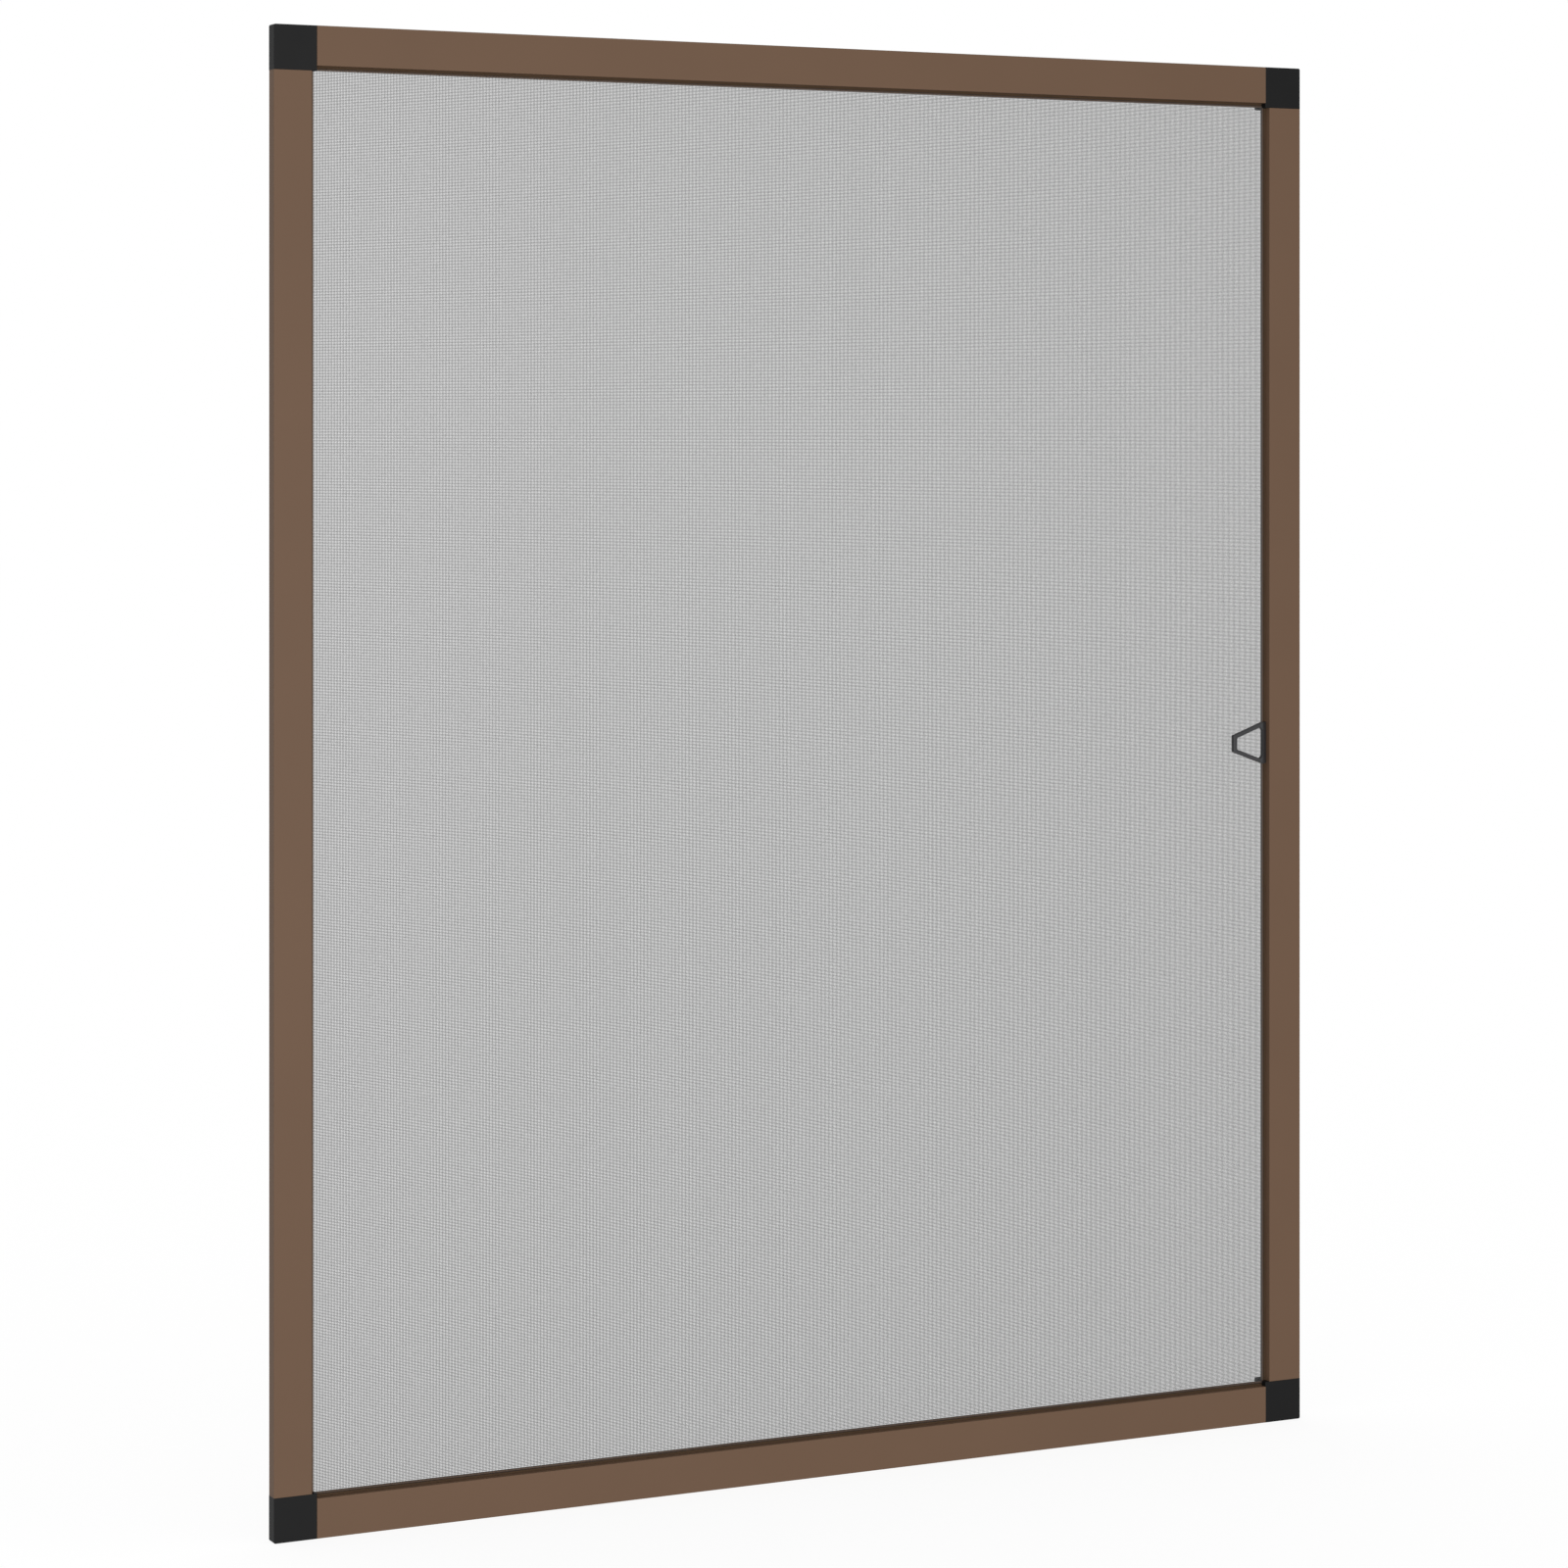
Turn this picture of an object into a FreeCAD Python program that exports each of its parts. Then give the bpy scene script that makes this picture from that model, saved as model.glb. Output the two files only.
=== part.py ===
import FreeCAD, Part
import math
import os
from FreeCAD import Vector

# An insect screen for a window: four hollow aluminium profiles joined by moulded corner pieces,
# with a fibre mesh that a round cord presses into a channel along each profile, a pull loop on
# the right side and a holder for a hanging hook behind each corner.
#
# Millimetres, +Z up. The front, where the channels open and the loop is, faces -Y. The origin
# is the middle of the bottom edge, halfway through the frame's depth.
#
# A piece that runs along a side is drawn standing on the left side, with X as the distance in
# from the frame's outer edge, Y as the depth and Z along the side, and is then turned to its
# own side. A corner's pieces are drawn at the bottom left and mirrored to the other corners.

# Whole frame
frame_width = 800.0
frame_height = 1000.0
frame_depth = 10.0

# Aluminium profile
face_width = 26.5
profile_wall = 1.2
channel_width = 2.0
channel_setback = 2.2
channel_floor = 0.8
lip_thickness = 0.9
lip_height = 2.2
edge_radius = 0.5
chamber_radius = 0.6
guide_rib_width = 1.6
guide_rib_height = 0.5
groove_count = 2
groove_depth = 0.25
groove_width = 0.5
groove_pitch = 0.7

# Corner piece
corner_overhang = 0.6
corner_radius = 1.2
corner_edge_radius = 0.4
leg_length = 46.0
leg_clearance = 0.15
leg_web = 2.0
leg_rail = 2.4
leg_rib = 1.8
leg_pocket_count = 5
leg_lead_in = 1.5

# Hook holder
holder_size = 15.0
holder_height = 4.7
holder_overhang = 0.8
holder_corner_radius = 1.5
holder_edge_chamfer = 0.5
hook_slot_length = 10.0
hook_slot_width = 2.2
hook_slot_depth = 3.2
spigot_size = 8.0
spigot_length = 4.5
spigot_clearance = 0.1

# Mesh
mesh_thickness = 0.4
mesh_end_clearance = 0.3
mesh_tail_clearance = 0.3
strand_pitch = 1.2
strand_width = 0.38
strands_per_ridge = 4
ridge_height = 0.15
gap_columns = 9
gap_rows = 12
gap_share = 0.69

# Retaining cord
cord_crown = 0.4
cord_clearance = 0.05
cord_end_clearance = 0.2
cord_rib_count = 3
cord_rib_bulge = 0.18

# Pull loop
loop_foot_height = 30.4
loop_tip_height = 12.0
loop_reach = 27.2
loop_foot_width = 4.9
loop_arm_width = 2.8
loop_tip_width = 3.2
loop_thickness = 3.3
loop_ramp_drop = 3.4
loop_offset = 1.4
loop_clearance = 0.1
loop_mesh_gap = 0.2
loop_foot_radius = 2.4
loop_tip_radius = 1.0
loop_edge_radius = 0.5

# Levels through the depth
front = -frame_depth / 2
back = frame_depth / 2
channel_back = back - channel_setback
floor_level = channel_back - channel_floor
lip_level = channel_back - lip_height
mesh_level = lip_level - mesh_thickness
loop_back = mesh_level - ridge_height - loop_mesh_gap
loop_front = loop_back - loop_thickness

# Distances in from the outer edge
channel_end = face_width + channel_width
lip_edge = channel_end + lip_thickness
corner_size = lip_edge + corner_overhang
fold_start = channel_end - mesh_thickness
loop_tip = lip_edge + loop_reach

# Straight lengths between the corner pieces, and how each side is turned
side_length = {
    "left": frame_height - 2 * corner_size,
    "right": frame_height - 2 * corner_size,
    "top": frame_width - 2 * corner_size,
    "bottom": frame_width - 2 * corner_size,
}
side_angle = {"left": 0, "top": 90, "right": 180, "bottom": -90}
side_middle = {
    "left": Vector(-frame_width / 2, 0, frame_height / 2),
    "right": Vector(frame_width / 2, 0, frame_height / 2),
    "top": Vector(0, 0, frame_height),
    "bottom": Vector(0, 0, 0),
}


def box(low, high):
    """A box from its lowest corner to its highest."""
    size = Vector(*high) - Vector(*low)
    return Part.makeBox(size.x, size.y, size.z, Vector(*low))


def prism(points, length, start):
    """A closed outline in X and Y, carried along Z from start."""
    corners = [Vector(x, y, start) for x, y in points]
    outline = Part.makePolygon(corners + corners[:1])
    return Part.Face(outline).extrude(Vector(0, 0, length))


def on_side(shape, side):
    """Turn a shape drawn on the left side to its own side of the frame."""
    turned = shape.copy()
    turned.rotate(Vector(0, 0, 0), Vector(0, 1, 0), side_angle[side])
    turned.translate(side_middle[side])
    return turned


def on_corner(shape, vertical, horizontal):
    """Mirror a shape drawn at the outer bottom left corner to its own corner."""
    moved = shape.copy()
    moved.translate(Vector(-frame_width / 2, 0, 0))
    if horizontal == "right":
        moved = moved.mirror(Vector(0, 0, 0), Vector(1, 0, 0))
    if vertical == "top":
        moved = moved.mirror(Vector(0, 0, frame_height / 2), Vector(0, 0, 1))
    return moved


def edges_along(shape, direction, keep):
    """The straight edges along a direction whose middle passes the test."""
    found = []
    for edge in shape.Edges:
        if len(edge.Vertexes) != 2:
            continue
        run = edge.Vertexes[1].Point - edge.Vertexes[0].Point
        is_along = run.Length > 1e-6 and abs(run.dot(direction)) > 0.999 * run.Length
        if is_along and keep(edge.CenterOfMass):
            found.append(edge)
    return found


def near(value, target):
    """Whether two places are the same, to a hundredth of a millimetre."""
    return abs(value - target) < 0.01


def save(shape, name):
    """Write one piece to its own file."""
    shape.exportStep("parts/" + name + ".step")
    print(name, "solids", len(shape.Solids), "valid", shape.isValid(), "volume", round(shape.Volume, 1))


# Profile: a hollow chamber, and beside it a channel that is open to the front
def profile(side):
    length = side_length[side]
    start = -length / 2

    outline = [(0, front), (face_width, front)]
    for n in range(groove_count):
        groove_start = lip_level + n * groove_pitch
        outline.append((face_width, groove_start))
        outline.append((face_width - groove_depth, groove_start + groove_width / 2))
        outline.append((face_width, groove_start + groove_width))
    outline += [
        (face_width, floor_level),
        (channel_end, floor_level),
        (channel_end, lip_level),
        (lip_edge, lip_level),
        (lip_edge, channel_back),
        (face_width, channel_back),
        (face_width, back),
        (0, back),
    ]
    body = prism(outline, length, start)
    body = body.makeFillet(edge_radius, edges_along(body, Vector(0, 0, 1), is_outer_edge))

    chamber = box(
        (profile_wall, front + profile_wall, start),
        (face_width - profile_wall, back - profile_wall, start + length),
    )
    chamber = chamber.makeFillet(chamber_radius, edges_along(chamber, Vector(0, 0, 1), lambda at: True))
    middle = face_width / 2
    for low, high in (
        (front + profile_wall, front + profile_wall + guide_rib_height),
        (back - profile_wall - guide_rib_height, back - profile_wall),
    ):
        guide_rib = box(
            (middle - guide_rib_width / 2, low, start),
            (middle + guide_rib_width / 2, high, start + length),
        )
        chamber = chamber.cut(guide_rib)
    return on_side(body.cut(chamber), side)


def is_outer_edge(at):
    """The long edges that a hand meets: the four around the hollow chamber."""
    return near(at.x, 0) or (near(at.x, face_width) and near(abs(at.y), back))


# Corner piece: a square head as deep as the profiles, with a pocketed leg into each of them
def corner_leg():
    """One leg along X, a bar with pockets on both faces and a tapered end."""
    low_y = front + profile_wall + guide_rib_height + leg_clearance
    high_y = -low_y
    low_z = profile_wall + leg_clearance
    high_z = face_width - profile_wall - leg_clearance
    tip = corner_size + leg_length
    leg = box((corner_size, low_y, low_z), (tip, high_y, high_z))
    leg = leg.makeChamfer(leg_lead_in, edges_along(leg, Vector(0, 1, 0), lambda at: near(at.x, tip)))

    pocket_pitch = (leg_length - leg_lead_in - leg_rib) / leg_pocket_count
    for n in range(leg_pocket_count):
        pocket_start = corner_size + leg_rib + n * pocket_pitch
        pocket_end = pocket_start + pocket_pitch - leg_rib
        for low, high in ((low_y, -leg_web / 2), (leg_web / 2, high_y)):
            pocket = box(
                (pocket_start, low, low_z + leg_rail),
                (pocket_end, high, high_z - leg_rail),
            )
            leg = leg.cut(pocket)
    return leg


def corner_piece():
    head = box((0, front, 0), (corner_size, back, corner_size))
    head = head.makeFillet(
        corner_radius,
        edges_along(head, Vector(0, 1, 0), lambda at: near(at.x, 0) and near(at.z, 0)),
    )
    front_edges = [edge for edge in head.Edges if near(edge.CenterOfMass.y, front)]
    head = head.makeFillet(corner_edge_radius, front_edges)

    leg = corner_leg()
    other_leg = leg.mirror(Vector(0, 0, 0), Vector(1, 0, -1))
    body = head.fuse([leg, other_leg])

    pocket = spigot_block(spigot_size / 2 + spigot_clearance, spigot_length + spigot_clearance)
    return body.cut(pocket)


# Hook holder: a block behind the corner, with a slot for a hook and a spigot into the head
def spigot_block(half, length):
    """The square spigot, or its pocket, from the back plane into the head."""
    middle = corner_size + holder_overhang - holder_size / 2
    return box((middle - half, back - length, middle - half), (middle + half, back, middle + half))


def hook_holder():
    high = corner_size + holder_overhang
    low = high - holder_size
    rear = back + holder_height
    block = box((low, back, low), (high, rear, high))
    block = block.makeFillet(holder_corner_radius, edges_along(block, Vector(0, 1, 0), lambda at: True))
    rear_edges = [edge for edge in block.Edges if near(edge.CenterOfMass.y, rear)]
    block = block.makeChamfer(holder_edge_chamfer, rear_edges)

    middle = (low + high) / 2
    slot = box(
        (middle - hook_slot_length / 2, rear - hook_slot_depth, middle - hook_slot_width / 2),
        (middle + hook_slot_length / 2, rear, middle + hook_slot_width / 2),
    )
    return block.cut(slot).fuse(spigot_block(spigot_size / 2, spigot_length))


# Mesh: one cloth, flat across the opening and folded over each lip into the channel
def mesh_fold(side):
    """The edge that turns down beside the lip and runs on under the cord."""
    length = side_length[side] - 2 * mesh_end_clearance
    tail = face_width + mesh_tail_clearance
    outline = [
        (fold_start, mesh_level),
        (channel_end, mesh_level),
        (channel_end, floor_level),
        (tail, floor_level),
        (tail, floor_level - mesh_thickness),
        (fold_start, floor_level - mesh_thickness),
    ]
    return on_side(prism(outline, length, -length / 2), side)


def ridge_places(low, high, gap_count):
    """Where the ridges stand, in a group on the middle of each bar between the gaps."""
    ridge_pitch = strands_per_ridge * strand_pitch
    gap_pitch = (high - low) / gap_count
    ridges_per_bar = int((1 - gap_share) * gap_pitch / ridge_pitch)
    places = []
    for bar in range(gap_count + 1):
        for n in range(ridges_per_bar):
            place = low + bar * gap_pitch + (n - (ridges_per_bar - 1) / 2) * ridge_pitch
            if low + strand_width < place < high - strand_width:
                places.append(place)
    return places


def screen_mesh():
    half_width = frame_width / 2
    open_half = half_width - corner_size - mesh_end_clearance
    open_low = corner_size + mesh_end_clearance
    open_high = frame_height - open_low
    wide_band = box(
        (-half_width + fold_start, mesh_level, open_low),
        (half_width - fold_start, lip_level, open_high),
    )
    tall_band = box(
        (-open_half, mesh_level, fold_start),
        (open_half, lip_level, frame_height - fold_start),
    )
    folds = [mesh_fold(side) for side in side_length]
    cloth = wide_band.fuse([tall_band] + folds).removeSplitter()

    # A plain grid of gaps, together as open as the cloth's own fine ones
    gap_pitch_x = 2 * open_half / gap_columns
    gap_pitch_z = (open_high - open_low) / gap_rows
    half_gap_x = gap_share * gap_pitch_x / 2
    half_gap_z = gap_share * gap_pitch_z / 2
    gaps = []
    for column in range(gap_columns):
        x = -open_half + (column + 0.5) * gap_pitch_x
        for row in range(gap_rows):
            z = open_low + (row + 0.5) * gap_pitch_z
            gaps.append(box(
                (x - half_gap_x, mesh_level, z - half_gap_z),
                (x + half_gap_x, lip_level, z + half_gap_z),
            ))

    # Between the gaps, strands stand out as ridges: upright ones in front and level ones behind
    ridges = []
    for x in ridge_places(-open_half, open_half, gap_columns):
        ridges.append(box(
            (x - strand_width / 2, mesh_level - ridge_height, open_low),
            (x + strand_width / 2, mesh_level, open_high),
        ))
    for z in ridge_places(open_low, open_high, gap_rows):
        ridges.append(box(
            (-open_half, lip_level, z - strand_width / 2),
            (open_half, lip_level + ridge_height, z + strand_width / 2),
        ))
    print("gaps", len(gaps), "ridges", len(ridges))
    return cloth.cut(gaps).fuse(ridges)


# Cord: a soft round cord squeezed into the channel, ribbed along its crown
def cord(side, low, high):
    """The cord along a side from low to high, both measured from the side's middle."""
    inner = face_width + cord_clearance
    outer = fold_start - cord_clearance
    width = outer - inner
    bottom = floor_level - mesh_thickness - cord_clearance
    crown = lip_level - cord_crown + cord_rib_bulge

    edges = [
        Part.LineSegment(Vector(outer, crown, low), Vector(outer, bottom - width / 2, low)).toShape(),
        Part.Arc(
            Vector(outer, bottom - width / 2, low),
            Vector((inner + outer) / 2, bottom, low),
            Vector(inner, bottom - width / 2, low),
        ).toShape(),
        Part.LineSegment(Vector(inner, bottom - width / 2, low), Vector(inner, crown, low)).toShape(),
    ]
    rib = width / cord_rib_count
    for n in range(cord_rib_count):
        start = inner + n * rib
        edges.append(Part.Arc(
            Vector(start, crown, low),
            Vector(start + rib / 2, crown - cord_rib_bulge, low),
            Vector(start + rib, crown, low),
        ).toShape())
    section = Part.Face(Part.Wire(Part.__sortEdges__(edges)))
    return on_side(section.extrude(Vector(0, 0, high - low)), side)


# Pull loop: a flat trapezoid ring whose foot ramps down and presses into the channel
def prism_through(half_outline):
    """An outline in X and Z, given by its upper half, carried back from the loop's front."""
    lower_half = [(x, -z) for x, z in reversed(half_outline)]
    corners = [Vector(x, loop_front, z) for x, z in half_outline + lower_half]
    outline = Part.makePolygon(corners + corners[:1])
    return Part.Face(outline).extrude(Vector(0, back - loop_front, 0))


def loop_ring():
    """The ring with its front edges rounded, still much deeper than the loop is thick."""
    foot = loop_foot_height / 2
    tip = loop_tip_height / 2
    start = face_width + loop_clearance
    shoulder = start + loop_foot_width
    slope = (foot - tip) / (loop_tip - shoulder)
    arm_drop = loop_arm_width * math.sqrt(1 + slope * slope)
    hole_end = loop_tip - loop_tip_width
    hole_foot = foot - arm_drop
    hole_tip = hole_foot - slope * (hole_end - shoulder)

    half_outline = [(start, foot), (shoulder, foot), (loop_tip, tip)]
    ring = prism_through(half_outline)
    hole = prism_through([(shoulder, hole_foot), (hole_end, hole_tip)])
    middle = (start + loop_tip) / 2
    along_depth = Vector(0, 1, 0)
    ring = ring.makeFillet(loop_tip_radius, edges_along(ring, along_depth, lambda at: at.x > middle))
    hole = hole.makeFillet(loop_foot_radius, edges_along(hole, along_depth, lambda at: at.x < middle))
    hole = hole.makeFillet(loop_tip_radius, edges_along(hole, along_depth, lambda at: at.x > middle))
    ring = ring.cut(hole)
    front_edges = [edge for edge in ring.Edges if near(edge.CenterOfMass.y, loop_front)]
    return ring.makeFillet(loop_edge_radius, front_edges)


def pull_loop():
    start = face_width + loop_clearance
    tongue = fold_start - loop_clearance
    tongue_end = floor_level - mesh_thickness - loop_clearance
    side_view = prism(
        [
            (start, loop_front + loop_ramp_drop),
            (start + loop_foot_width, loop_front),
            (loop_tip, loop_front),
            (loop_tip, loop_back),
            (tongue, loop_back),
            (tongue, tongue_end),
            (start, tongue_end),
        ],
        loop_foot_height,
        -loop_foot_height / 2,
    )
    loop = loop_ring().common(side_view)
    loop.translate(Vector(0, 0, -loop_offset))
    return on_side(loop, "right")


os.makedirs("parts", exist_ok=True)

for side in side_length:
    save(profile(side), "profile_" + side)

for side in ("left", "top", "bottom"):
    half = side_length[side] / 2 - cord_end_clearance
    save(cord(side, -half, half), "cord_" + side)

# The right side is turned half round, so its upper end is the low end of the drawing
right_half = side_length["right"] / 2 - cord_end_clearance
foot_half = loop_foot_height / 2 + cord_end_clearance
save(cord("right", -right_half, -loop_offset - foot_half), "cord_right_upper")
save(cord("right", -loop_offset + foot_half, right_half), "cord_right_lower")

save(pull_loop(), "pull_loop")
save(screen_mesh(), "screen_mesh")

corner = corner_piece()
holder = hook_holder()
for vertical in ("bottom", "top"):
    for horizontal in ("left", "right"):
        place = vertical + "_" + horizontal
        save(on_corner(corner, vertical, horizontal), "corner_" + place)
        save(on_corner(holder, vertical, horizontal), "hook_holder_" + place)
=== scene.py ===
# %% [markdown]
# # An insect screen for a window
#
# The screen is a brown aluminium frame with black plastic corners and a grey mesh of coated
# glass fibre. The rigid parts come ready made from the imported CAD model, so this lesson is
# mostly about finishes: powder coat, moulded plastic, a rubbery cord. One piece is built
# here, the cloth of crossed strands, because its look comes from hundreds of thousands of
# tiny gaps.

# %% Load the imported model
import math

import bpy
import numpy as np
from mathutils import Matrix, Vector


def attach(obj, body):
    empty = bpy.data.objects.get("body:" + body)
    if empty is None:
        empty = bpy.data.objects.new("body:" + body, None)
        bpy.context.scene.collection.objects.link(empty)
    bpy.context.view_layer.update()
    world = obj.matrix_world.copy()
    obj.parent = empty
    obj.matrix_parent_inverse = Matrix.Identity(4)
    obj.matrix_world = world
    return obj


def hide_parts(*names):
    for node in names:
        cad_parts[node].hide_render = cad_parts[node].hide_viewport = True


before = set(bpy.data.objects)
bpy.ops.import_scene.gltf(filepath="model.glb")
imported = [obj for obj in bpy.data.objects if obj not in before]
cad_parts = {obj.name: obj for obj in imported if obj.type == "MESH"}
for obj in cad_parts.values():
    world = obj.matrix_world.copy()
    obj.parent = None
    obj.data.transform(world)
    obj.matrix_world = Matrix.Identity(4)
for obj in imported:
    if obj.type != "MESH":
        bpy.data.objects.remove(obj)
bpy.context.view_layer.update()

MM = 0.001
print("nodes:", len(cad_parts))

# %% [markdown]
# ## The camera
#
# A camera is described by where its eye is, where it looks and how long its lens is. The
# photograph was taken with a long lens, from the left and from above the middle, and yet all
# the upright edges are parallel in it. That happens only when the camera is held level. The
# screen then lies below the middle of the view, so the view is shifted down to it.

# %% Camera
EYE = Vector((-1.3327, -2.6565, 0.7357))
TURNED_RIGHT = math.radians(26.232)
LENS_MM = 97.44
SHIFT_DOWN = 0.2287


def aim(thing, direction):
    """Turn an object so that its own -Z, the way cameras and lamps face, follows a direction."""
    thing.rotation_mode = "QUATERNION"
    thing.rotation_quaternion = direction.to_track_quat("-Z", "Y")


camera_data = bpy.data.cameras.new("camera")
camera_data.lens = LENS_MM
camera_data.shift_y = -SHIFT_DOWN
camera = bpy.data.objects.new("camera", camera_data)
camera.location = EYE
looks_along = Vector((math.sin(TURNED_RIGHT), math.cos(TURNED_RIGHT), 0.0))
aim(camera, looks_along)
bpy.context.scene.collection.objects.link(camera)
bpy.context.scene.camera = camera
print("camera looks along", [round(part, 3) for part in looks_along])

# %% [markdown]
# ## Small helpers for nodes
#
# Every finish below is a small network of shader nodes. Writing out each link by hand hides
# what the network does, so one helper makes a node, sets its options and plugs its inputs in
# one call. A value that is itself a socket becomes a link, and any other value is typed into
# the input. The other helpers do one step of arithmetic, open a node group, which is a network
# with its own named inputs and outputs that many materials can share, and place a group.

# %% Node helpers
def add_node(tree, kind, inputs=None, **options):
    """A node with its options set, and each named input either linked or given a value."""
    node = tree.nodes.new(kind)
    for name, value in options.items():
        setattr(node, name, value)
    for name, value in (inputs or {}).items():
        if isinstance(value, bpy.types.NodeSocket):
            tree.links.new(value, node.inputs[name])
        else:
            node.inputs[name].default_value = value
    return node


def maths(tree, operation, first, second):
    """One step of arithmetic on two values, as a socket."""
    return add_node(tree, "ShaderNodeMath", {0: first, 1: second}, operation=operation).outputs[0]


def open_group(name, inputs, outputs):
    """A new group with named sockets, and the nodes that stand for its two ends."""
    tree = bpy.data.node_groups.new(name, "ShaderNodeTree")
    for label, kind, value in inputs:
        socket = tree.interface.new_socket(label, in_out="INPUT", socket_type="NodeSocket" + kind)
        socket.default_value = value
    for label, kind in outputs:
        tree.interface.new_socket(label, in_out="OUTPUT", socket_type="NodeSocket" + kind)
    return tree, tree.nodes.new("NodeGroupInput"), tree.nodes.new("NodeGroupOutput")


def use_group(tree, group, inputs=None):
    """A shared group placed in a material, with its own values."""
    return add_node(tree, "ShaderNodeGroup", inputs, node_tree=group)


# %% [markdown]
# ## The white studio
#
# The photograph has the screen on plain white. Lighting a floor until it is white would burn
# out the object too, so the white is kept for the rays that look at it. The Light Path node
# tells whether a ray comes from the camera or through something clear, and such rays see
# white, while the light that reaches the object comes from a weaker sky.

# %% World
SKY_LIGHT = 0.6
SEEN_SKY = 1.0
WHITE = (1.0, 1.0, 1.0, 1.0)


def sees_the_backdrop(tree):
    """1 for rays from the camera or through something clear, and 0 for light and reflections."""
    path = add_node(tree, "ShaderNodeLightPath")
    return maths(tree, "MAXIMUM", path.outputs["Is Camera Ray"], path.outputs["Is Transmission Ray"])


world = bpy.data.worlds.new("white studio")
world.use_nodes = True
world.node_tree.nodes.clear()
light_sky = add_node(world.node_tree, "ShaderNodeBackground", {"Color": WHITE, "Strength": SKY_LIGHT})
white_sky = add_node(world.node_tree, "ShaderNodeBackground", {"Color": WHITE, "Strength": SEEN_SKY})
sky = add_node(world.node_tree, "ShaderNodeMixShader", {
    0: sees_the_backdrop(world.node_tree),
    1: light_sky.outputs[0],
    2: white_sky.outputs[0],
})
add_node(world.node_tree, "ShaderNodeOutputWorld", {"Surface": sky.outputs[0]})
bpy.context.scene.world = world
bpy.context.scene.view_settings.view_transform = "Standard"
print("sky, seen and as light:", SEEN_SKY, SKY_LIGHT)

# %% [markdown]
# The floor has to look as white as the sky, because most of what shows through the mesh is
# floor, and it still has to take the screen's shadow. So the camera sees a glow that is nearly
# white and a little real paint on top: where the screen keeps light off the paint, the floor
# dims. The object gets the same paint with a weaker glow, which lights it from below about as
# evenly as the sky does from above.

# %% Floor
FLOOR_HALF = 20.0
SEEN_GLOW = 0.88
LIGHT_GLOW = 0.54
FLOOR_PAINT = (0.2, 0.2, 0.2, 1.0)

floor_mesh = bpy.data.meshes.new("floor")
floor_mesh.from_pydata(
    [(x, y, 0.0) for x, y in ((-FLOOR_HALF, -FLOOR_HALF), (FLOOR_HALF, -FLOOR_HALF),
                              (FLOOR_HALF, FLOOR_HALF), (-FLOOR_HALF, FLOOR_HALF))],
    [], [(0, 1, 2, 3)],
)
floor = bpy.data.objects.new("floor", floor_mesh)
bpy.context.scene.collection.objects.link(floor)


def painted_glow(tree, glow_strength):
    """The floor's matt paint with a glow added to it, as a shader socket."""
    paint = add_node(tree, "ShaderNodeBsdfDiffuse", {"Color": FLOOR_PAINT})
    glow = add_node(tree, "ShaderNodeEmission", {"Color": WHITE, "Strength": glow_strength})
    return add_node(tree, "ShaderNodeAddShader", {0: paint.outputs[0], 1: glow.outputs[0]}).outputs[0]


floor_finish = bpy.data.materials.new("white floor")
floor_finish.use_nodes = True
floor_tree = floor_finish.node_tree
floor_tree.nodes.clear()
floor_mix = add_node(floor_tree, "ShaderNodeMixShader", {
    0: sees_the_backdrop(floor_tree),
    1: painted_glow(floor_tree, LIGHT_GLOW),
    2: painted_glow(floor_tree, SEEN_GLOW),
})
add_node(floor_tree, "ShaderNodeOutputMaterial", {"Surface": floor_mix.outputs[0]})
floor_mesh.materials.append(floor_finish)
print("floor glow, seen and as light:", SEEN_GLOW, LIGHT_GLOW)

# %% [markdown]
# One large lamp stands in front of the screen, a little to its left. A large lamp gives soft
# light, and from there the left profile comes out a little brighter than the right one, and
# the frame's left side face a little darker than its front, as in the photograph. It is wider
# than high, so that its lower edge stays above the floor.
#
# A lamp this near the floor lights a bright patch at its own foot, and from behind the screen
# that patch shows through the mesh. Light linking says which objects a lamp reaches. Here it
# leaves out the floor, which has its own glow, and the sky alone gives the screen's shadow.

# %% Lamp
LAMP_AT = Vector((-0.7, -2.8, 0.5))
LAMP_AIMS_AT = Vector((0.0, 0.0, 0.5))
LAMP_WIDTH = 1.6
LAMP_HEIGHT = 0.9
LAMP_WATTS = 38.0

lamp_data = bpy.data.lights.new("soft lamp", "AREA")
lamp_data.shape = "RECTANGLE"
lamp_data.size = LAMP_WIDTH
lamp_data.size_y = LAMP_HEIGHT
lamp_data.energy = LAMP_WATTS
lamp = bpy.data.objects.new("soft lamp", lamp_data)
lamp.location = LAMP_AT
aim(lamp, LAMP_AIMS_AT - LAMP_AT)
bpy.context.scene.collection.objects.link(lamp)

left_out = bpy.data.collections.new("left out of the lamp's light")
left_out.objects.link(floor)
lamp.light_linking.receiver_collection = left_out
left_out.collection_objects[0].light_linking.link_state = "EXCLUDE"
print("lamp is", round((LAMP_AIMS_AT - LAMP_AT).length, 2), "m from the screen and its lower edge",
      round(LAMP_AT.z - LAMP_HEIGHT / 2, 2), "m above the floor")

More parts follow.
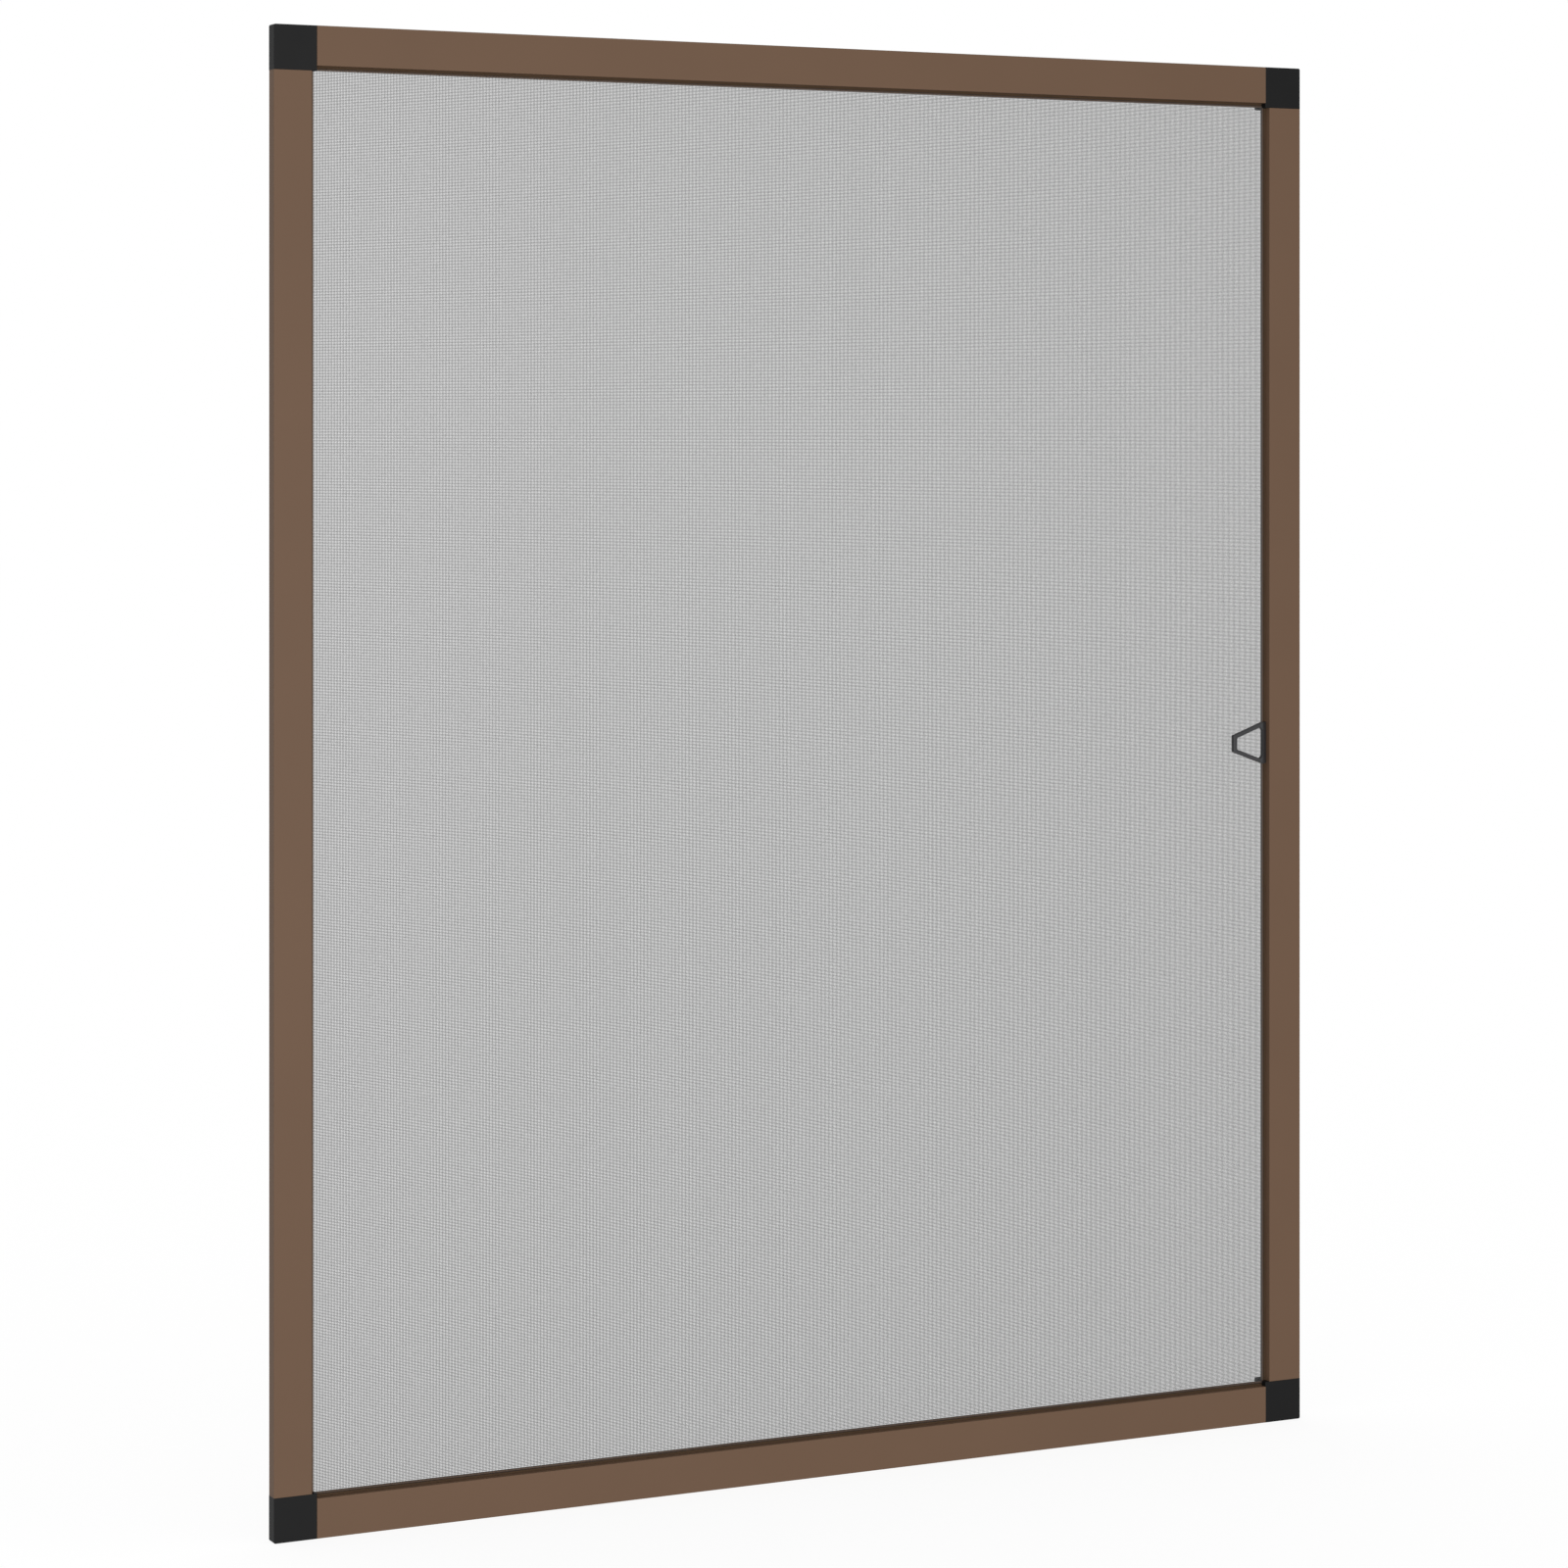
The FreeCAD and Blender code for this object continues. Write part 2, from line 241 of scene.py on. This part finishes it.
# %% [markdown]
# ## The cloth
#
# A window mesh is a plain weave of glass fibre yarns dipped in PVC, which glues them where
# they cross. Painting it on a flat sheet would give a picture of a mesh, without the real
# gaps that show the background and change with the angle. So every strand is modelled, but
# very cheaply: a strand is a four sided bar with fourteen places along it. The strands aren't
# woven over and under each other. The upright ones lie 0.09 mm in front of the level ones and
# run into them where they cross. That is about an eighth of a pixel in the picture.
#
# The cloth is first laid out flat, in two coordinates across and up. Near each side of the
# frame it then leaves the flat wall: it bends over the lip, goes down into the channel and
# turns outwards under the cord. One function says where a point at a given distance along
# the cloth ends up, and all the strands use it, so they stay together round each bend.
#
# The lip's corner and edge are measured inwards from the frame's outer edge. The wall depth
# is how far the cloth lies behind the middle of the frame's thickness.

# %% Sizes of the cloth
FRAME_HALF_WIDTH = 400 * MM
FRAME_HALF_HEIGHT = 500 * MM
WALL_DEPTH = 0.43 * MM
LIP_CORNER = 28.5 * MM
LIP_EDGE = 29.4 * MM
OVER_LIP_RADIUS = 0.22 * MM
DOWN_THE_LIP = 0.77 * MM
INTO_FLOOR_RADIUS = 0.38 * MM
UNDER_THE_CORD = 1.0 * MM

UPRIGHT_PITCH = 1.035 * MM
LEVEL_PITCH = 0.977 * MM
STRAND_HALF_WIDTH = 0.154 * MM
STRAND_HALF_THICKNESS = 0.085 * MM
CROSSING_OFFSET = 0.045 * MM


def fold_length():
    """How much cloth lies beyond the lip's corner: two quarter turns and two straights."""
    turns = (OVER_LIP_RADIUS + INTO_FLOOR_RADIUS) * math.pi / 2
    return turns + DOWN_THE_LIP + UNDER_THE_CORD


def over_the_lip(run, lip_corner):
    """Where the cloth is at a signed distance, the run, along it from its middle.

    Up to the lip's corner it is flat. Then come a quarter turn into the channel, a straight,
    a quarter turn back outwards and a last straight. Each stretch adds as much as the run has
    used of it: a turn of radius r through an angle a adds r sin a one way and
    r (1 - cos a) the other. Gives the distance out, the depth, and the slope as an angle,
    which is 0 on the flat.
    """
    side = np.sign(run)
    beyond = np.abs(run) - lip_corner
    flat = np.minimum(np.abs(run), lip_corner)
    first = np.clip(beyond / OVER_LIP_RADIUS, 0, math.pi / 2)
    beyond = beyond - OVER_LIP_RADIUS * math.pi / 2
    down = np.clip(beyond, 0, DOWN_THE_LIP)
    beyond = beyond - DOWN_THE_LIP
    second = np.clip(beyond / INTO_FLOOR_RADIUS, 0, math.pi / 2)
    beyond = beyond - INTO_FLOOR_RADIUS * math.pi / 2
    tail = np.clip(beyond, 0, UNDER_THE_CORD)
    out = flat + OVER_LIP_RADIUS * np.sin(first) + INTO_FLOOR_RADIUS * (1 - np.cos(second)) + tail
    depth = OVER_LIP_RADIUS * (1 - np.cos(first)) + down + INTO_FLOOR_RADIUS * np.sin(second)
    return side * out, depth, side * (first - second)


lip_x = FRAME_HALF_WIDTH - LIP_CORNER
lip_z = FRAME_HALF_HEIGHT - LIP_CORNER

# %% [markdown]
# The strands are all made at once as one big array: strand, place along it, corner of its
# section, and x, y, z. Places are spent where a strand bends, at the lip and in the channel,
# and only four are left for the long straight middle, where the strand drifts a little as
# real yarn does. The strands are finer than the photograph's pixels, so their pitch had to be
# tried out: about a millimetre came nearest to its fine even grid, while 1.2 and 1.6 mm beat
# against the pixels in another rhythm.
#
# Only the strands that cross a lip go on over it into the channel. Those that would lie along
# the lip are left out, because with them it comes out grey, and in the photograph it is brown.

# %% Strands
DRIFT = 0.14 * MM
DRIFT_LENGTH = 0.9
DRIFT_WAVES = ((6.3, 11), (11, -7))
ENDS_FADE = 4
SIDES_FADE = 12
SINGLE_DRIFT = 0.015 * MM
EDGE_GAP_IN_PITCHES = 0.5
MIDDLE_PLACES = 4
STRAND_SEED = 7
SECTION = np.array([(-1, -1), (-1, 1), (1, 1), (1, -1)])


def places_along(lip_corner):
    """The places along a strand: where each fold bends and ends, and a few evenly between."""
    bends = lip_corner + np.array([
        0.0,
        OVER_LIP_RADIUS * math.pi / 2,
        OVER_LIP_RADIUS * math.pi / 2 + DOWN_THE_LIP,
        fold_length() - UNDER_THE_CORD,
        fold_length(),
    ])
    middle = np.linspace(-bends[0], bends[0], MIDDLE_PLACES + 2)[1:-1]
    return np.concatenate([-bends[::-1], middle, bends])


def strands_one_way(across_lip, along_lip, wanted_pitch, offset, rng):
    """The corner points of all strands that run one way, with their ends bent over the lips.

    A strand's place across is its number times the pitch, plus a drift: slow waves shared by
    its neighbours and a small shift of its own. Each wave is the sine of so many radians per
    drift length along and per metre across. The drift fades out over the last quarter of the
    way along to a lip, and over the last twelfth of the way across to one. The pitch is
    trimmed so that the outermost strand keeps half a pitch from the lip's edge. The section
    is a rectangle: half a width to each side, half a thickness in and out of the cloth.
    Gives points as (strand, place, corner, [across, depth, along]).
    """
    lip_edge = across_lip + LIP_CORNER - LIP_EDGE
    count = round(lip_edge / wanted_pitch - EDGE_GAP_IN_PITCHES)
    pitch = lip_edge / (count + EDGE_GAP_IN_PITCHES)
    across = np.arange(-count, count + 1)[:, None] * pitch
    places = places_along(along_lip)
    along = np.broadcast_to(places, (len(across), len(places)))
    waves = sum(
        np.sin(along / DRIFT_LENGTH * per_length + across * per_metre)
        for per_length, per_metre in DRIFT_WAVES
    )
    fade = np.clip((along_lip - np.abs(along)) / along_lip * ENDS_FADE, 0, 1)
    still = np.clip((across_lip - np.abs(across)) / across_lip * SIDES_FADE, 0, 1)
    own = rng.uniform(-1, 1, along.shape)
    across = across + (DRIFT / len(DRIFT_WAVES) * waves + SINGLE_DRIFT * own) * fade * still

    up, depth, slope = over_the_lip(along, along_lip)
    front = np.stack([np.zeros_like(slope), -np.cos(slope), np.sin(slope)], -1)
    centre = np.stack([across, WALL_DEPTH + depth, up], -1) + offset * front
    sideways = SECTION[:, 0, None] * np.array([STRAND_HALF_WIDTH, 0.0, 0.0])
    thick = SECTION[:, 1, None] * STRAND_HALF_THICKNESS * front[:, :, None]
    return centre[:, :, None] + sideways + thick


rng = np.random.default_rng(STRAND_SEED)
upright = strands_one_way(lip_x, lip_z, UPRIGHT_PITCH, CROSSING_OFFSET, rng)
level = strands_one_way(lip_z, lip_x, LEVEL_PITCH, -CROSSING_OFFSET, rng)
print("upright and level strands:", len(upright), len(level))

# %% [markdown]
# Points alone are not a mesh. Each strand needs four long walls and a cap at each end, and
# because every strand has the same layout, its faces are one small pattern of corner numbers
# that is added to each strand's starting number. Swapping across and along for the level
# strands turns their faces inside out, so their pattern is read backwards.

# %% Cloth mesh
FACE_CORNERS = 4


def bar_faces(strand_count, place_count, reverse):
    """Corner numbers of all faces of many bars: walls between places, and two caps each."""
    corners = len(SECTION)
    place = np.arange(place_count - 1)[:, None]
    corner = np.arange(corners)[None]
    near_edge = place * corners + corner
    next_corner = place * corners + (corner + 1) % corners
    walls = np.stack([near_edge, next_corner, next_corner + corners, near_edge + corners], -1)
    first_cap = np.arange(corners)[::-1]
    last_cap = np.arange(corners) + (place_count - 1) * corners
    pattern = np.concatenate([walls.reshape(-1, FACE_CORNERS), first_cap[None], last_cap[None]])
    if reverse:
        pattern = pattern[:, ::-1]
    starts = np.arange(strand_count) * place_count * corners
    return (starts[:, None, None] + pattern[None]).reshape(-1, FACE_CORNERS)


def mesh_from_arrays(name, points, faces):
    """A mesh of four sided faces, filled from whole arrays."""
    mesh = bpy.data.meshes.new(name)
    mesh.vertices.add(len(points))
    mesh.vertices.foreach_set("co", points.astype(np.float32).ravel())
    mesh.loops.add(faces.size)
    mesh.loops.foreach_set("vertex_index", faces.astype(np.int32).ravel())
    mesh.polygons.add(len(faces))
    mesh.polygons.foreach_set("loop_start", np.arange(0, faces.size, FACE_CORNERS, dtype=np.int32))
    mesh.polygons.foreach_set("use_smooth", np.ones(len(faces), dtype=bool))
    mesh.update(calc_edges=True)
    mesh.validate()
    return mesh


middle_height = np.array([0.0, 0.0, FRAME_HALF_HEIGHT])
upright_points = upright.reshape(-1, 3) + middle_height
level_points = level.reshape(-1, 3)[:, ::-1] + middle_height
cloth_faces = np.concatenate([
    bar_faces(len(upright), upright.shape[1], False),
    bar_faces(len(level), level.shape[1], True) + len(upright_points),
])
cloth_mesh = mesh_from_arrays("screen_cloth", np.concatenate([upright_points, level_points]), cloth_faces)
screen_cloth = bpy.data.objects.new("screen_cloth", cloth_mesh)
bpy.context.scene.collection.objects.link(screen_cloth)
print("cloth faces:", len(cloth_mesh.polygons))

# %% [markdown]
# No two yarns take up quite the same coat of PVC. A number kept on each strand's points, an
# attribute, lets the material make one strand a trace lighter than the next.

# %% Strand tones
POINTS_PER_STRAND = upright.shape[1] * len(SECTION)
tones = np.repeat(rng.uniform(0, 1, len(upright) + len(level)), POINTS_PER_STRAND)
tone_attribute = cloth_mesh.attributes.new("strand_tone", "FLOAT", "POINT")
tone_attribute.data.foreach_set("value", tones.astype(np.float32))
print("tones:", len(tones))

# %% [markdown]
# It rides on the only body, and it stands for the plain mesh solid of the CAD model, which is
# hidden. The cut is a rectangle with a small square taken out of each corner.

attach(screen_cloth, "root")
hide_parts("screen_mesh")

# %% [markdown]
# ## Effects that the finishes share
#
# Three effects come back in several finishes, so each is a group made once. The first is a
# fine relief: the orange peel of powder coat, the spark-eroded grain of a moulding and the
# matt skin of a soft plastic differ mostly in size. The same group gives broad soft patches,
# in which a real finish is a little glossier or paler than around them.

# %% Group: surface grain
RELIEF_DETAIL = 2.0
PATCH_DETAIL = 3.0


def build_surface_grain():
    """Noise at the grain's own size for relief, and at the patches' size for slow change."""
    tree, start, end = open_group(
        "surface grain",
        [
            ("Coordinates", "Vector", (0, 0, 0)),
            ("Grain size", "Float", 0.5 * MM),
            ("Patch size", "Float", 100 * MM),
        ],
        [("Relief", "Float"), ("Patches", "Float")],
    )
    kinds = (("Grain size", "Relief", RELIEF_DETAIL), ("Patch size", "Patches", PATCH_DETAIL))
    for size, output, detail in kinds:
        noise = add_node(tree, "ShaderNodeTexNoise", {
            "Vector": start.outputs["Coordinates"],
            "Scale": maths(tree, "DIVIDE", 1.0, start.outputs[size]),
            "Detail": detail,
        })
        tree.links.new(noise.outputs["Fac"], end.inputs[output])
    return tree


surface_grain = build_surface_grain()
print("made the group", surface_grain.name)

# %% [markdown]
# The second effect marks rounded edges, where hands and packing rub a coat thin, and where the
# black plastic gets a painted sheen. A flat side of this frame faces straight along one axis,
# so the largest part of its normal is 1. On a rounded edge the normal points between two axes
# and its largest part is smaller.

# %% Group: rounded edges
EDGE_BEGINS = 0.02
EDGE_IS_FULL = 0.22


def build_rounded_edges():
    """1 minus the largest part of the normal, spread from 0 on flat sides to 1 on edges."""
    tree, _, end = open_group("rounded edges", [], [("Edge", "Float")])
    surface = add_node(tree, "ShaderNodeTexCoord")
    size = add_node(tree, "ShaderNodeVectorMath", {0: surface.outputs["Normal"]}, operation="ABSOLUTE")
    parts = add_node(tree, "ShaderNodeSeparateXYZ", {0: size.outputs[0]})
    largest = maths(tree, "MAXIMUM", parts.outputs["X"], parts.outputs["Y"])
    largest = maths(tree, "MAXIMUM", largest, parts.outputs["Z"])
    spread = add_node(tree, "ShaderNodeMapRange", {
        "Value": maths(tree, "SUBTRACT", 1.0, largest),
        "From Min": EDGE_BEGINS,
        "From Max": EDGE_IS_FULL,
    })
    tree.links.new(spread.outputs["Result"], end.inputs["Edge"])
    return tree


rounded_edges = build_rounded_edges()
print("made the group", rounded_edges.name)

# %% [markdown]
# The third effect is for things that come out of a die: an aluminium profile and a rubbery
# cord both carry faint lines along their whole length. Noise becomes lines when nearly all
# change along one direction is taken out of its coordinates, so the group takes that
# direction as an input.

# %% Group: drawn lines
SHARE_TAKEN = 0.994
LINE_DETAIL = 2.0


def build_drawn_lines():
    """Noise in coordinates whose part along a direction is almost taken away."""
    tree, start, end = open_group(
        "drawn lines",
        [
            ("Coordinates", "Vector", (0, 0, 0)),
            ("Along", "Vector", (0, 0, 1)),
            ("Line width", "Float", 1 * MM),
        ],
        [("Lines", "Float")],
    )
    place = start.outputs["Coordinates"]
    along = start.outputs["Along"]
    distance = add_node(tree, "ShaderNodeVectorMath", {0: place, 1: along}, operation="DOT_PRODUCT")
    taken = add_node(tree, "ShaderNodeVectorMath", {
        0: along,
        "Scale": maths(tree, "MULTIPLY", distance.outputs["Value"], SHARE_TAKEN),
    }, operation="SCALE")
    squeezed = add_node(tree, "ShaderNodeVectorMath", {0: place, 1: taken.outputs[0]}, operation="SUBTRACT")
    noise = add_node(tree, "ShaderNodeTexNoise", {
        "Vector": squeezed.outputs[0],
        "Scale": maths(tree, "DIVIDE", 1.0, start.outputs["Line width"]),
        "Detail": LINE_DETAIL,
    })
    tree.links.new(noise.outputs["Fac"], end.inputs["Lines"])
    return tree


drawn_lines = build_drawn_lines()
print("made the group", drawn_lines.name)

# %% [markdown]
# ## Finishes
#
# All finishes have the same frame: a Principled shader for a painted or plastic surface, and
# the shared grain on the object's own coordinates. Small helpers keep the rest readable. They
# start a finish, shade and blend colours, spread a value over a range, take the mean of two
# values, lighten and smooth the edges, which is wear on the brown coat and a painted sheen on
# the black plastic, and plug colour, roughness and relief into the shader.
#
# The Mix node has sockets for numbers, vectors and colours and hides those not in use, so its
# colour sockets are reached by their place in the list.

# %% Material helpers
MIX_AMOUNT = 0
MIX_FIRST_COLOUR = 6
MIX_SECOND_COLOUR = 7
MIX_COLOUR_OUT = 2
ALONG_X = (1.0, 0.0, 0.0)
ALONG_Z = (0.0, 0.0, 1.0)


def start_finish(name, specular, grain_size, patch_size):
    """A new material with a Principled shader, the object coordinates and the grain on them."""
    finish = bpy.data.materials.new(name)
    finish.use_nodes = True
    tree = finish.node_tree
    tree.nodes.clear()
    shader = add_node(tree, "ShaderNodeBsdfPrincipled")
    shader.inputs["Specular IOR Level"].default_value = specular
    add_node(tree, "ShaderNodeOutputMaterial", {"Surface": shader.outputs[0]})
    place = add_node(tree, "ShaderNodeTexCoord").outputs["Object"]
    grain = use_group(tree, surface_grain, {
        "Coordinates": place,
        "Grain size": grain_size,
        "Patch size": patch_size,
    })
    return finish, tree, shader, place, grain


def shade(colour, factor):
    """A colour made darker or lighter, with its alpha kept."""
    return tuple(part * factor for part in colour[:3]) + colour[3:]


def blend_colours(tree, amount, first, second):
    """The first colour where the amount is 0 and the second where it is 1."""
    mix = add_node(tree, "ShaderNodeMix", {
        MIX_AMOUNT: amount,
        MIX_FIRST_COLOUR: first,
        MIX_SECOND_COLOUR: second,
    }, data_type="RGBA")
    return mix.outputs[MIX_COLOUR_OUT]


def two_shades(tree, amount, colour, darker, lighter):
    """A colour times the darker factor where the amount is 0 and the lighter one where it is 1."""
    return blend_colours(tree, amount, shade(colour, darker), shade(colour, lighter))


def spread_value(tree, value, low, high):
    """A value from 0 to 1 turned into one from low to high."""
    node = add_node(tree, "ShaderNodeMapRange", {"Value": value, "To Min": low, "To Max": high})
    return node.outputs["Result"]


def mean_of(tree, first, second):
    """Half the sum of two values."""
    return maths(tree, "MULTIPLY", maths(tree, "ADD", first, second), 0.5)


def wear_and_sheen_edges(tree, colour, roughness, wear_and_sheen_colour, wear_and_sheen_share, worn_gloss):
    """On rounded edges, a share of the edge colour mixed in and some roughness taken away: worn coat on the
    brown, a painted sheen on the black.
    """
    edge = use_group(tree, rounded_edges).outputs["Edge"]
    colour = blend_colours(tree, maths(tree, "MULTIPLY", edge, wear_and_sheen_share), colour, wear_and_sheen_colour)
    roughness = maths(tree, "SUBTRACT", roughness, maths(tree, "MULTIPLY", edge, worn_gloss))
    return colour, roughness


def plug_in(tree, shader, colour, roughness, height, depth):
    """Colour and roughness into the shader, and a height as a bump: height 1 is the depth."""
    bump = add_node(tree, "ShaderNodeBump", {"Height": height, "Distance": depth, "Strength": 1.0})
    tree.links.new(colour, shader.inputs["Base Color"])
    tree.links.new(roughness, shader.inputs["Roughness"])
    tree.links.new(bump.outputs[0], shader.inputs["Normal"])


# %% [markdown]
# ### Brown powder coat
#
# Powder is sprayed on dry and melted in an oven. It levels out into a satin skin that keeps
# a faint orange peel about a millimetre across, and the die lines of the aluminium below it
# show through a little. It is thinner, so a little paler and glossier, on rounded edges.

# %% Brown powder coat
BROWN = (0.152, 0.091, 0.057, 1.0)
COAT_SPECULAR = 0.15
COAT_SHADES = (0.95, 1.05)
COAT_ROUGHNESS = (0.44, 0.52)
COAT_PATCH = 90 * MM
PEEL_SIZE = 1.1 * MM
PEEL_DEPTH = 0.012 * MM
DIE_LINE = 0.9 * MM
DIE_LINE_SHARE = 0.35
THIN_COAT = shade(BROWN, 1.35)
THIN_COAT_SHARE = 0.35
THIN_COAT_GLOSS = 0.06


def brown_powder_coat(name, along):
    """The coat on profiles that run along one direction."""
    finish, tree, shader, place, grain = start_finish(name, COAT_SPECULAR, PEEL_SIZE, COAT_PATCH)
    lines = use_group(tree, drawn_lines, {"Coordinates": place, "Along": along, "Line width": DIE_LINE})
    coat = two_shades(tree, grain.outputs["Patches"], BROWN, *COAT_SHADES)
    satin = spread_value(tree, grain.outputs["Patches"], *COAT_ROUGHNESS)
    coat, satin = wear_and_sheen_edges(tree, coat, satin, THIN_COAT, THIN_COAT_SHARE, THIN_COAT_GLOSS)
    relief = maths(tree, "MULTIPLY", lines.outputs["Lines"], DIE_LINE_SHARE)
    relief = maths(tree, "ADD", relief, grain.outputs["Relief"])
    plug_in(tree, shader, coat, satin, relief, PEEL_DEPTH)
    return finish


coat_upright = brown_powder_coat("brown coat, upright", ALONG_Z)
coat_level = brown_powder_coat("brown coat, level", ALONG_X)
print("made", coat_upright.name, "and", coat_level.name)

# %% [markdown]
# ### Black moulded plastic
#
# The corner pieces and the hook holders are made to look like nylon, moulded in a steel tool
# whose surface was spark eroded. That leaves an even matt grain a few tenths of a millimetre
# across, which handling polishes on the edges. Those edges are also coloured lighter, which is
# a painted sheen.

# %% Black plastic
BLACK = (0.0065, 0.0065, 0.0067, 1.0)
MOULD_SPECULAR = 0.2
MOULD_SHADES = (0.85, 1.15)
MOULD_ROUGHNESS = (0.44, 0.58)
MOULD_PATCH = 14 * MM
MOULD_GRAIN = 0.35 * MM
MOULD_DEPTH = 0.014 * MM
# The lighter colour on the black edges is a painted sheen; the real polish is the roughness taken away.
PAINTED_EDGE_SHEEN = shade(BLACK, 1.9)
PAINTED_SHEEN_SHARE = 0.5
EDGE_POLISH_GLOSS = 0.12


def black_plastic(name):
    """Matt black with a fine even grain, smoother on the edges, and painted lighter there as a sheen."""
    finish, tree, shader, _, grain = start_finish(name, MOULD_SPECULAR, MOULD_GRAIN, MOULD_PATCH)
    black = two_shades(tree, grain.outputs["Patches"], BLACK, *MOULD_SHADES)
    matt = spread_value(tree, grain.outputs["Relief"], *MOULD_ROUGHNESS)
    # Painted sheen: the edges are coloured lighter, and they are really smoother.
    black, matt = wear_and_sheen_edges(tree, black, matt, PAINTED_EDGE_SHEEN, PAINTED_SHEEN_SHARE, EDGE_POLISH_GLOSS)
    plug_in(tree, shader, black, matt, grain.outputs["Relief"], MOULD_DEPTH)
    return finish


black_finish = black_plastic("black moulded plastic")
print("made", black_finish.name)

# %% [markdown]
# ### Brown cord
#
# The cord is a soft rope, squeezed into the channel with a roller. Extruding leaves fine lines
# along it, and its skin is matt and slightly uneven.

# %% Brown cord
CORD_BROWN = (0.080, 0.047, 0.025, 1.0)
CORD_SPECULAR = 0.2
CORD_SHADES = (0.8, 1.2)
CORD_ROUGHNESS = (0.62, 0.8)
CORD_PATCH = 25 * MM
CORD_GRAIN = 0.8 * MM
CORD_LINE = 0.3 * MM
CORD_DEPTH = 0.03 * MM


def brown_cord(name, along):
    """Matt soft plastic with lines along one direction."""
    finish, tree, shader, place, grain = start_finish(name, CORD_SPECULAR, CORD_GRAIN, CORD_PATCH)
    lines = use_group(tree, drawn_lines, {"Coordinates": place, "Along": along, "Line width": CORD_LINE})
    brown = two_shades(tree, grain.outputs["Patches"], CORD_BROWN, *CORD_SHADES)
    matt = spread_value(tree, grain.outputs["Relief"], *CORD_ROUGHNESS)
    relief = mean_of(tree, grain.outputs["Relief"], lines.outputs["Lines"])
    plug_in(tree, shader, brown, matt, relief, CORD_DEPTH)
    return finish


cord_upright = brown_cord("brown cord, upright", ALONG_Z)
cord_level = brown_cord("brown cord, level", ALONG_X)
print("made", cord_upright.name, "and", cord_level.name)

# %% [markdown]
# ### Dark grey pull loop
#
# The loop has to bend when it is pulled, so it is a softer plastic than the corners: a shade
# lighter, a little glossier, and with a finer grain.

# %% Pull loop
LOOP_GREY = (0.040, 0.040, 0.042, 1.0)
LOOP_SPECULAR = 0.4
LOOP_SHADES = (0.9, 1.1)
LOOP_ROUGHNESS = (0.4, 0.52)
LOOP_PATCH = 8 * MM
LOOP_GRAIN = 0.25 * MM
LOOP_DEPTH = 0.006 * MM


def loop_plastic(name):
    """Soft dark grey plastic with a low sheen."""
    finish, tree, shader, _, grain = start_finish(name, LOOP_SPECULAR, LOOP_GRAIN, LOOP_PATCH)
    grey = two_shades(tree, grain.outputs["Patches"], LOOP_GREY, *LOOP_SHADES)
    glossy = spread_value(tree, grain.outputs["Relief"], *LOOP_ROUGHNESS)
    plug_in(tree, shader, grey, glossy, grain.outputs["Relief"], LOOP_DEPTH)
    return finish


loop_finish = loop_plastic("dark grey soft plastic")
print("made", loop_finish.name)

# %% [markdown]
# ### Coated yarn
#
# A strand is a bundle of glass threads in a dark grey coat. From a step away only its tone
# counts, together with the share of white that shows between the strands. Close by, the coat
# is slightly uneven along the yarn and has a low sheen.

# %% Coated yarn
YARN_GREY = (0.085, 0.085, 0.086, 1.0)
YARN_SPECULAR = 0.3
YARN_SHADES = (0.88, 1.12)
YARN_ROUGHNESS = (0.45, 0.65)
YARN_PATCH = 60 * MM
YARN_GRAIN = 0.45 * MM
YARN_DEPTH = 0.02 * MM


def coated_yarn(name):
    """Grey PVC whose shade comes from the strand's own tone and from slow patches."""
    finish, tree, shader, _, grain = start_finish(name, YARN_SPECULAR, YARN_GRAIN, YARN_PATCH)
    tone = add_node(tree, "ShaderNodeAttribute", attribute_name="strand_tone").outputs["Fac"]
    grey = two_shades(tree, mean_of(tree, tone, grain.outputs["Patches"]), YARN_GREY, *YARN_SHADES)
    matt = spread_value(tree, grain.outputs["Relief"], *YARN_ROUGHNESS)
    plug_in(tree, shader, grey, matt, grain.outputs["Relief"], YARN_DEPTH)
    return finish


cloth_mesh.materials.append(coated_yarn("grey coated yarn"))
print("made", cloth_mesh.materials[0].name)

# %% [markdown]
# ## Giving each piece its finish
#
# The CAD pieces keep their own meshes. Only their material slots change, and which finish a
# piece gets follows from the start of its name and from the side that it runs along. The mesh
# solid is left alone, because the cloth stands for it.

# %% Assign the finishes
def finish_for(node_name):
    """The finish that goes with a CAD piece's name."""
    runs_level = "top" in node_name or "bottom" in node_name
    if node_name.startswith("profile"):
        return coat_level if runs_level else coat_upright
    if node_name.startswith("cord"):
        return cord_level if runs_level else cord_upright
    if node_name.startswith("pull_loop"):
        return loop_finish
    return black_finish


for node_name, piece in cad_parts.items():
    if node_name == "screen_mesh":
        continue
    piece.data.materials.clear()
    piece.data.materials.append(finish_for(node_name))
    print(node_name, "->", piece.data.materials[0].name)
